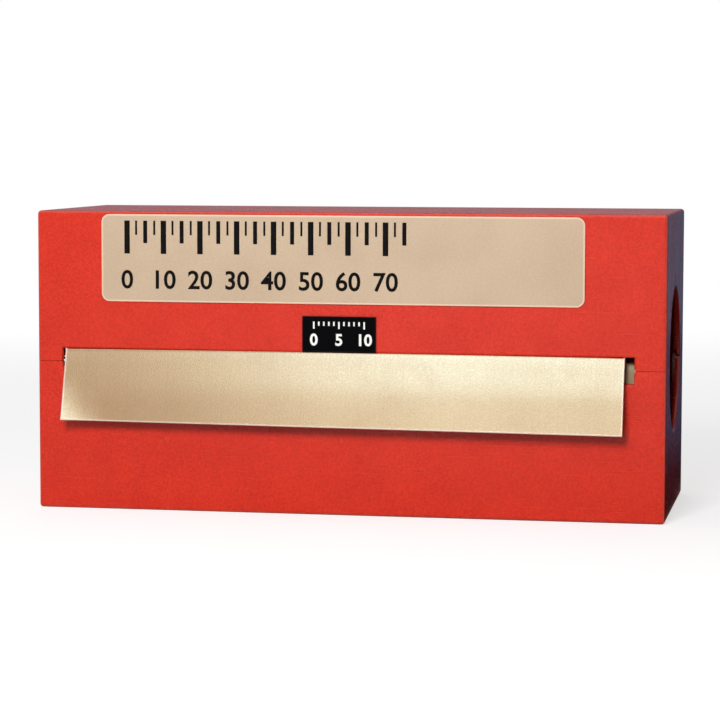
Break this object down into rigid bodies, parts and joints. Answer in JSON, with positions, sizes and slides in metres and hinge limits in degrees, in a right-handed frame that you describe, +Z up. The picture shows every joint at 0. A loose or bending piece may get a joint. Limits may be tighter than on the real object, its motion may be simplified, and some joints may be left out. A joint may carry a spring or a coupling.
{
  "type": "shim stock roll",
  "caption": "Coil of brass shim foil in a red hinged plastic dispenser case, its free end hanging from a slot in the front.",
  "frame": {"origin": "centre of the flat underside that the case stands on", "axes": "+X along the roll, to the right as seen from the front; +Y from the front with its slot to the back with its hinge; +Z up"},
  "size_m": [0.1686, 0.0774, 0.0802],
  "materials": {
    "case_plastic": "glossy red injection-moulded plastic",
    "shim_brass": "bright cold-rolled brass foil with fine rolling lines",
    "size_label_film": "satin beige label film with plain black print",
    "thickness_label_film": "black label film with plain white print"
  },
  "bodies": {
    "base": {"box_base": "case_plastic", "shim_foil": "shim_brass"},
    "lid": {"box_lid": "case_plastic", "size_label": "size_label_film", "thickness_label": "thickness_label_film"}
  },
  "joints": [
    {"name": "lid_hinge", "type": "hinge", "parent": "base", "child": "lid", "pos_m": [0, 0.0358, 0.0398], "axis": [-1, 0, 0], "range_deg": [0, 175]}
  ]
}
